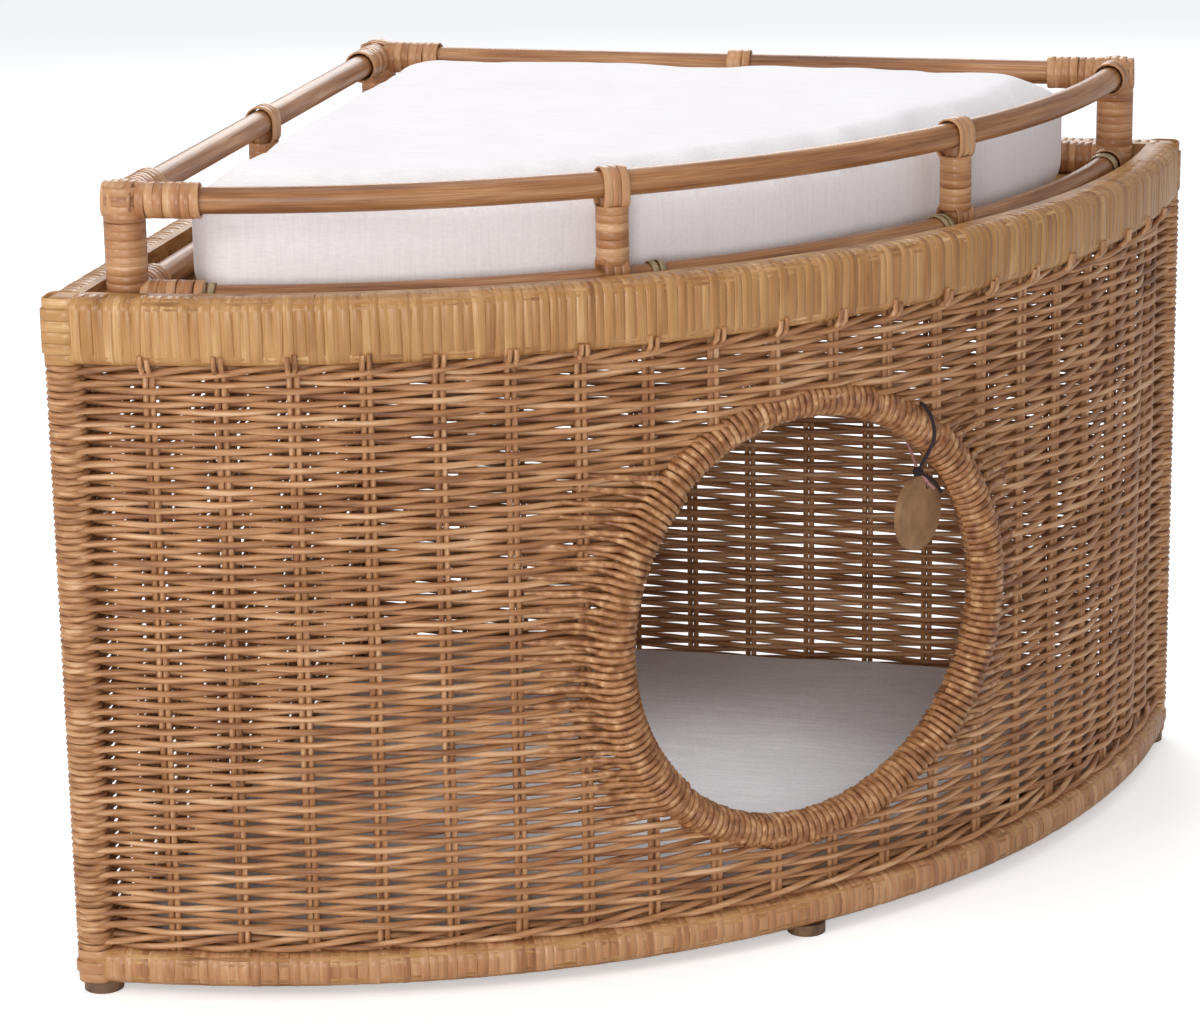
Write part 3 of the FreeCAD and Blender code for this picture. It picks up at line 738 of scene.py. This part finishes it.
# %% Fans beside the ring
fans = []
for side_turn, slope in ((0, 1), (math.pi, -1)):
    for k in range(-FANS_EACH_WAY, FANS_EACH_WAY + 1):
        turn = side_turn + k * REED / RING_REACH
        path = []
        for roll in range(20, 161, 20):
            angle = math.radians(roll)
            reach = RING_REACH - FAN_REACH * math.cos(angle)
            path.append(ring_point(turn, reach, FAN_REACH * math.sin(angle)))
        tail = LONG_TAIL if k % 2 == 0 else SHORT_TAIL
        begin = ring_point(turn, RING_REACH + RING_TUBE, 0)
        lift = math.sin(turn) * FAN_LIFT
        for part in (0.3, 0.6, 1.0):
            s = run_of(front, begin) + slope * tail * part
            depth = WALL_DEPTH - (5.2 - 7 * part ** 3) * MM
            path.append(front(s, depth, begin.z + lift * part))
        fans.append(path)
keep_mesh("ring_fans", strands_mesh(fans, WEAVER, 1), "house", ring_wood)

# %% [markdown]
# The rails are bare rattan poles, held at the corners and uprights by tight peel bindings. A
# rail follows its wall a little way in, at two heights above the deck.

# %% Rails and the strips round them
rail_low, rail_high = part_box("rail_upper_left")
lower_low, lower_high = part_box("rail_lower_left")
RAIL_RADIUS = (rail_high.z - rail_low.z) / 2
RAIL_INSET = (rail_low.x + rail_high.x) / 2 - CORNER.x
LEVELS = {"lower": (lower_low.z + lower_high.z) / 2, "upper": (rail_low.z + rail_high.z) / 2}
DECK_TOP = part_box("deck_panel")[1].z
STRIP = 5.2 * MM
BIND = 1.2 * MM
ARM_RADIUS = RAIL_RADIUS + 2.2 * MM
BIND_POINTS = 4


def hoop(radius):
    """A round strip of peel."""
    return loop_shape(2 * radius, 2 * radius, radius * 0.98, STRIP, BIND, BIND_POINTS)


def rail_scale(place):
    """Distance along the wall's face for each unit along its rail."""
    return ARM / (ARM - RAIL_INSET) if place is front else 1.0


def level_hoops(spot, bottom, top):
    """Places for level hoops up a post, between two heights."""
    count = round((top - bottom) / STRIP)
    places = []
    for k in range(count):
        height = bottom + (top - bottom) * (k + 0.5) / count
        tilt = Matrix.Rotation(math.radians(dice.gauss(0, 1.5)), 4, "X")
        places.append(Matrix.Translation((spot.x, spot.y, height)) @ tilt)
    return places


print("rails at", {level: round(height, 3) for level, height in LEVELS.items()})

# %% [markdown]
# Level strips cover each corner post, and strips across each rail make its arms. A few larger
# loops close over the top of the post, lower towards their sides, so the corner reads as one
# rounded elbow.

# %% Bindings at the rail corners
COLUMN_RADIUS = 11.7 * MM
COLUMN_OVER = 8.6 * MM
ARM_END, LAST_ARM_END = 43 * MM, 26 * MM
ARMS = {
    "left": (("front", 1, ARM_END), ("left", -1, ARM_END)),
    "back": (("left", 1, ARM_END), ("back", 1, ARM_END)),
    "right": (("back", -1, ARM_END), ("front", -1, LAST_ARM_END)),
}
ELBOW_WIDTH, ELBOW_HEIGHT = 2 * COLUMN_RADIUS + 1.6 * MM, 21.6 * MM
ELBOW_ROUNDING = 9.5 * MM
elbow = loop_shape(ELBOW_WIDTH, ELBOW_HEIGHT, ELBOW_ROUNDING, STRIP, BIND, BIND_POINTS)


def arm_places(place, here, direction, end):
    """Places for the strips along both rails, away from a corner post."""
    places = []
    for level in LEVELS.values():
        reach = COLUMN_RADIUS
        while reach < end:
            s = here + direction * reach * rail_scale(place)
            places.append(stand(place, s, RAIL_INSET, level, 1.8))
            reach += STRIP
    return places


def elbow_places(place, here, direction):
    """Places for five loops over a post's top, the outer ones narrower and lower."""
    places = []
    for k in range(-2, 3):
        offset = k * STRIP * 0.9
        chord = math.sqrt(1 - (offset / COLUMN_RADIUS) ** 2) if abs(k) == 2 else 1 - 0.04 * abs(k)
        s = here + direction * offset * rail_scale(place)
        spot = stand(place, s, RAIL_INSET, LEVELS["upper"] + 0.4 * MM)
        places.append(spot @ Matrix.Diagonal((chord - 0.09, 1.02 - 0.05 * abs(k), 1, 1)))
    return places


for corner, arms in ARMS.items():
    centre = box_centre("rail_post_" + corner)
    column = level_hoops(centre, DECK_TOP, LEVELS["upper"] + COLUMN_OVER)
    column_mesh = repeat(hoop(COLUMN_RADIUS), column, 21)
    keep_mesh(f"corner_wrap_{corner}", column_mesh, "house", level_bind,
              ["binding_" + corner])
    for wall, direction, end in arms:
        place = WALLS[wall][0]
        here = run_of(place, centre)
        arm_mesh = repeat(hoop(ARM_RADIUS), arm_places(place, here, direction, end), 22)
        keep_mesh(f"arm_wraps_{corner}_{wall}", arm_mesh, "house", bind_wood[wall])
        if wall == arms[0][0]:
            over_mesh = repeat(elbow, elbow_places(place, here, direction), 23)
            keep_mesh(f"elbow_wraps_{corner}", over_mesh, "house", bind_wood[wall])

# %% [markdown]
# Each upright between the rails has three strips looped lengthwise over the rail above and
# below it, and level strips wound over their ends.

# %% Uprights between the rails
MID_RADIUS = 9.3 * MM
LOOP_HEIGHT = 26 * MM
LOOP_SHIFT = 3 * MM
LOOP_ROUNDING = 8.6 * MM
LOWER_GAP, UPPER_GAP = 3 * MM, 5 * MM
end_loop = loop_shape(2 * MID_RADIUS - 0.4 * MM, LOOP_HEIGHT, LOOP_ROUNDING, STRIP, BIND, BIND_POINTS)
MIDS = {"left": "left", "back": "back", "front_a": "front", "front_b": "front"}
level_places, loop_places = [], {wall: [] for wall in WALLS}
for name, wall in MIDS.items():
    place = WALLS[wall][0]
    centre = box_centre("mid_post_" + name)
    bottom = LEVELS["lower"] + RAIL_RADIUS + LOWER_GAP
    top = LEVELS["upper"] - RAIL_RADIUS - UPPER_GAP
    level_places += level_hoops(centre, bottom, top)
    for level, shift in ((LEVELS["lower"], LOOP_SHIFT), (LEVELS["upper"], -LOOP_SHIFT)):
        for k in (-1, 0, 1):
            s = run_of(place, centre) + k * STRIP * rail_scale(place)
            loop_places[wall].append(stand(place, s, RAIL_INSET, level + shift, 1.5))
upright_mesh = repeat(hoop(MID_RADIUS), level_places, 31)
keep_mesh("upright_wraps", upright_mesh, "house", level_bind, ["mid_wraps"])
for wall, places in loop_places.items():
    loops_mesh = repeat(end_loop, places, 32)
    keep_mesh(f"upright_loops_{wall}", loops_mesh, "house", bind_wood[wall])

# %% [markdown]
# Four thin ties of paler peel hold the lower rail to the deck in front.

# %% Ties on the lower rail
TIE_SIZE = 2 * RAIL_RADIUS + 2.4 * MM
TIE_ROUNDING, TIE_STRIP, TIE_THICK = 8.6 * MM, 3.4 * MM, 0.9 * MM
TIE_STEPS = {
    "rail_post_left": 48 * MM,
    "mid_post_front_a": 27 * MM,
    "mid_post_front_b": -15 * MM,
    "rail_post_right": -35 * MM,
}
tie = loop_shape(TIE_SIZE, TIE_SIZE, TIE_ROUNDING, TIE_STRIP, TIE_THICK, BIND_POINTS)
ties = []
for node, step in TIE_STEPS.items():
    s = run_of(front, box_centre(node)) + step * rail_scale(front)
    for slant, shift in ((9, -1.8), (-6, 1.8)):
        spot = stand(front, s + shift * MM, RAIL_INSET, LEVELS["lower"])
        ties.append(spot @ Matrix.Rotation(math.radians(slant), 4, "X"))
keep_mesh("rail_ties", repeat(tie, ties, 41), "house", tie_peel)

# %% [markdown]
# The construction's own poles, boards and feet are right as they are and only take a finish.

# %% Finishes of the construction pieces
def finish(node, wood):
    """Gives a construction piece its material."""
    for slot in bpy.data.objects[node].material_slots:
        slot.material = wood


for wall in WALLS:
    for level in ("rail_lower", "rail_upper", "base_pole", "rim_lower", "rim_upper"):
        finish(f"{level}_{wall}", pole_wood[wall])
    finish("stakes_" + wall, stake_wood)
for corner in CORNERS:
    finish("post_" + corner, pole_upright)
    finish("rail_post_" + corner, pole_upright)
for name in MIDS:
    finish("mid_post_" + name, pole_upright)
for name in ("base_wrap", "rim_wrap"):
    finish(name, block_peel)
finish("door_core", under_wrap)
for name in (*CORNERS, "front"):
    finish("foot_" + name, foot_wood)
for name in ("floor_panel", "deck_panel", "floor_bearers", "deck_bearers"):
    finish(name, board_wood)
print("construction pieces finished")

# %% [markdown]
# The cushion and the mat are cotton covers on loose filling. The white cover is a crisp plain
# weave whose upright threads just show, and the mat's is heavier, greyer and slubbed. Cotton
# is matt with a faint sheen of loose fibre at grazing angles.

# %% Cotton
NAP_BUMP = {"Strength": 0.3, "Distance": 0.0005}


def cotton(name, light, shade, thread_mm):
    """Plain woven cotton: two sets of threads, faint slubs and a soft surface."""
    made, tree, shader = material(name)
    spot = add(tree, "ShaderNodeTexCoord").outputs["Object"]
    thread = 1 / (thread_mm * MM)
    heights = []
    for stretch in ((1, 1, 0.04), (0.05, 1, 1)):
        scale = [thread * part for part in stretch]
        scaled = add(tree, "ShaderNodeMapping", {"Vector": spot, "Scale": scale}).outputs[0]
        threads = add(tree, "ShaderNodeTexNoise", {"Vector": scaled, "Scale": 1.0, "Detail": 2.0})
        heights.append(threads.outputs[0])
    cross = add(tree, "ShaderNodeMath", {0: heights[0], 1: heights[1]}, operation="ADD")
    slubs = add(tree, "ShaderNodeTexNoise", {"Vector": spot, "Scale": 14.0, "Detail": 3.0})
    blend = add(tree, "ShaderNodeMath",
                {0: slubs.outputs[0], 1: 0.6, 2: cross.outputs[0]}, operation="MULTIPLY_ADD")
    shade_map = add(tree, "ShaderNodeMapRange",
                    {"Value": blend.outputs[0], "From Min": 1.0, "From Max": 1.6})
    colour = ramp(tree, shade_map.outputs[0], [(0.0, shade), (1.0, light)])
    height = add(tree, "ShaderNodeBump", {"Height": cross.outputs[0], **NAP_BUMP})
    tree.links.new(colour.outputs[0], shader.inputs["Base Color"])
    tree.links.new(height.outputs[0], shader.inputs["Normal"])
    shader.inputs["Roughness"].default_value = 0.9
    shader.inputs["Sheen Weight"].default_value = 0.15
    return made


cushion_cotton = cotton("white cotton cover", "FFFDFE", "F5F1F3", 1.3)
mat_cotton = cotton("heavy grey-white cotton", "F4F3F5", "DEDCE0", 1.8)
print("cotton ready")

# %% [markdown]
# A pad is made as a tailor fills one: a slightly small shape is blown up as cloth, held close
# to its form so that it stays between the rails, and kept flat where it lies. A little smooth
# noise then gives the dents that a filling leaves.

# %% Stuffed pads
VOXEL = 6 * MM
CLOTH_FRAMES = 20


def evaluated_mesh(thing):
    """The mesh a thing shows once its modifiers have worked."""
    shown = thing.evaluated_get(bpy.context.evaluated_depsgraph_get())
    return bpy.data.meshes.new_from_object(shown)


def blow_up(thing, pressure):
    """Lets the cloth swell for some frames and returns where each point ends."""
    cloth = thing.modifiers.new("cloth", "CLOTH")
    cloth.settings.use_pressure = True
    cloth.settings.uniform_pressure_force = pressure
    cloth.settings.effector_weights.gravity = 0
    for moment in range(1, CLOTH_FRAMES + 1):
        scene.frame_set(moment)
    mesh = evaluated_mesh(thing)
    ends = [vertex.co.copy() for vertex in mesh.vertices]
    bpy.data.meshes.remove(mesh)
    thing.modifiers.remove(cloth)
    scene.frame_set(1)
    return ends


def even_skin(name, node, box, margin):
    """A piece with an even mesh, in the form of a construction piece drawn in by a margin."""
    size = box[1] - box[0]
    mesh = bpy.data.objects[node].data.copy()
    shape = bmesh.new()
    shape.from_mesh(mesh)
    bmesh.ops.remove_doubles(shape, verts=shape.verts, dist=0.1 * MM)
    shrink = Matrix.Diagonal((1 - 2 * margin / size.x, 1 - 2 * margin / size.y, 1 - margin / size.z, 1))
    middle = (box[0] + box[1]) / 2
    foot = Vector((middle.x, middle.y, box[0].z))
    shape.transform(Matrix.Translation(foot) @ shrink @ Matrix.Translation(-foot))
    shape.to_mesh(mesh)
    shape.free()
    piece = bpy.data.objects.new(name, mesh)
    scene.collection.objects.link(piece)
    remesh = piece.modifiers.new("even skin", "REMESH")
    remesh.mode = "VOXEL"
    remesh.voxel_size = VOXEL
    skin = evaluated_mesh(piece)
    piece.modifiers.remove(remesh)
    piece.data = skin
    return piece


def stuffed(name, node, margin, crown, pressure, dent):
    """A pad that starts margin inside its space and may rise crown above its start."""
    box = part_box(node)
    depth = box[1].z - box[0].z
    piece = even_skin(name, node, box, margin)
    skin = piece.data
    starts = [vertex.co.copy() for vertex in skin.vertices]
    ends = blow_up(piece, pressure)
    for vertex, start, end in zip(skin.vertices, starts, ends):
        move = end - start
        side = Vector((move.x, move.y, 0))
        if side.length > margin:
            side *= margin / side.length
        lift = max(-margin, min(crown, move.z))
        dents = noise.noise(start * 17) * dent + noise.noise(start * 43) * dent * 0.4
        height = start.z + lift + dents * (start.z - box[0].z) / depth
        vertex.co = Vector((start.x + side.x, start.y + side.y, max(box[0].z, height)))
    skin.shade_smooth()
    smoother = piece.modifiers.new("soft", "SUBSURF")
    smoother.levels = 1
    smoother.render_levels = 1
    return piece


def keep_pad(piece, body, cloth, nodes):
    """Gives a pad its cover's material and says what it is."""
    piece.data.materials.clear()
    piece.data.materials.append(cloth)
    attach(piece, body)
    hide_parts(*nodes)
    print(f"{piece.name}: {len(piece.data.vertices)} points")


print("pad functions ready")

# %% [markdown]
# The deck's cushion is full and rises well above its edges. The den's mat is thinner and lies
# flatter.

# %% Cushion and mat
cushion = stuffed("top_cushion", "cushion_filling", margin=5 * MM, crown=12 * MM, pressure=4,
                  dent=2.0 * MM)
keep_pad(cushion, "cushion", cushion_cotton, ["cushion_cover", "cushion_filling"])
mat = stuffed("floor_mat", "den_mat", margin=2.5 * MM, crown=5 * MM, pressure=3, dent=1.6 * MM)
keep_pad(mat, "mat", mat_cotton, ["den_mat"])

# %% [markdown]
# The tag is a plain round of brown card with a punched hole and a worn edge. It hangs a little
# turned, with its hole to one side of the top.

# %% Tag
tag_low, tag_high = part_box("tag_disc")
TAG_CENTRE = (tag_low + tag_high) / 2
TAG_RADIUS = (tag_high.z - tag_low.z) / 2
TAG_THICK = 4 * MM
TAG_TURN = math.radians(20.6)
HOLE_LEAN = math.radians(28)
HOLE_INSET, HOLE_RADIUS = 6 * MM, 2.2 * MM
CARD_STOPS = [(0.0, "7E5B3E"), (1.0, "A9825B")]
tag_card = rattan("brown card tag", CARD_STOPS, (14, 14, 14), (0.7, 0.7, 0.7), roughness=0.75)
tag_face = Matrix.Rotation(TAG_TURN, 3, "Z") @ OUT
tag_side = UP.cross(tag_face).normalized()


def short_rod(name, radius, thick, centre, segments):
    """A round rod whose ends face the way the tag faces."""
    shape = bmesh.new()
    bmesh.ops.create_cone(shape, cap_ends=True, segments=segments, radius1=radius,
                          radius2=radius, depth=thick)
    mesh = bpy.data.meshes.new(name)
    turn = Matrix((tag_side, UP, tag_side.cross(UP))).transposed().to_4x4()
    shape.transform(Matrix.Translation(centre) @ turn)
    shape.to_mesh(mesh)
    shape.free()
    return bpy.data.objects.new(name, mesh)


towards_hole = tag_side * math.sin(HOLE_LEAN) + UP * math.cos(HOLE_LEAN)
hole_place = TAG_CENTRE + (TAG_RADIUS - HOLE_INSET) * towards_hole
disc = short_rod("disc", TAG_RADIUS, TAG_THICK, TAG_CENTRE, 72)
punch = short_rod("punch", HOLE_RADIUS, TAG_THICK * 3, hole_place, 24)
scene.collection.objects.link(disc)
scene.collection.objects.link(punch)
hole = disc.modifiers.new("hole", "BOOLEAN")
hole.object = punch
hole.operation = "DIFFERENCE"
soft = disc.modifiers.new("worn edge", "BEVEL")
soft.width = 0.5 * MM
soft.segments = 2
card = evaluated_mesh(disc)
bpy.data.objects.remove(disc)
bpy.data.objects.remove(punch)
tag_round = keep_mesh("tag_round", card, "tag", tag_card, ["tag_disc"])
tag_round.data.shade_flat()

# %% [markdown]
# The tag hangs on a thin suede lace tied round the ring. One strand is dark and one is rose.
# They are knotted below the ring, with two short ends, and the rose one goes through the hole.

# %% Lace
LACE = 2.3 * MM
LOOP_RADIUS = 16.4 * MM
LACE_TURN = math.radians(51)
KNOT_DROP = 28 * MM
KNOT_RADIUS = 2.4 * MM
hang = ring_point(LACE_TURN, RING_REACH, 0)
knot = hang - UP * KNOT_DROP


def suede(name, light, dark):
    """Suede is matt, with a short nap that mottles its colour."""
    made, tree, shader = material(name)
    spot = add(tree, "ShaderNodeTexCoord").outputs["Object"]
    nap = add(tree, "ShaderNodeTexNoise", {"Vector": spot, "Scale": 900.0, "Detail": 3.0})
    colour = ramp(tree, nap.outputs[0], [(0.3, dark), (0.7, light)])
    tree.links.new(colour.outputs[0], shader.inputs["Base Color"])
    shader.inputs["Roughness"].default_value = 0.95
    return made


def loop_point(degrees):
    """A point of the lace round the ring: 0 is in front, 90 on top, 180 behind."""
    angle = math.radians(degrees)
    return hang + (OUT * math.cos(angle) + UP * math.sin(angle)) * LOOP_RADIUS


def beside_knot(across, down, forwards=0.0):
    """A point by its place beside the knot, in millimetres."""
    return knot + SIDE * across * MM - UP * down * MM + OUT * forwards * MM


front_strand = [knot] + [loop_point(a) for a in range(-24, 91, 12)]
back_strand = [loop_point(a) for a in range(90, 205, 12)] + [knot]
dark_end = [knot, beside_knot(6, 4, 3), beside_knot(13, 9), beside_knot(18, 16)]
rose_end = [knot, beside_knot(5, 6), beside_knot(11, 12, 2)]
hole_front = hole_place + tag_face * TAG_THICK * 0.8
hole_back = hole_place - tag_face * TAG_THICK * 0.8
way_down = knot.lerp(hole_front, 0.5) + OUT * 2 * MM
way_up = knot.lerp(hole_place, 0.4) - tag_face * 3 * MM
to_tag = [knot, way_down, hole_front, hole_back, way_up, knot]
knot_turns = []
for tilt in (0, 55, 120):
    turn = Matrix.Rotation(math.radians(tilt), 3, SIDE)
    knot_turns.append([knot + turn @ point for point in circle_path(KNOT_RADIUS, 12)] + [knot])
dark = suede("dark suede lace", "3A2C30", "1E1618")
rose = suede("rose suede lace", "C08E8A", "96655F")
dark_mesh = strands_mesh([front_strand, dark_end, *knot_turns], LACE)
keep_mesh("lace_dark", dark_mesh, "tag", dark, ["tag_lace"])
rose_mesh = strands_mesh([back_strand, rose_end, to_tag], LACE * 0.9)
keep_mesh("lace_rose", rose_mesh, "tag", rose)
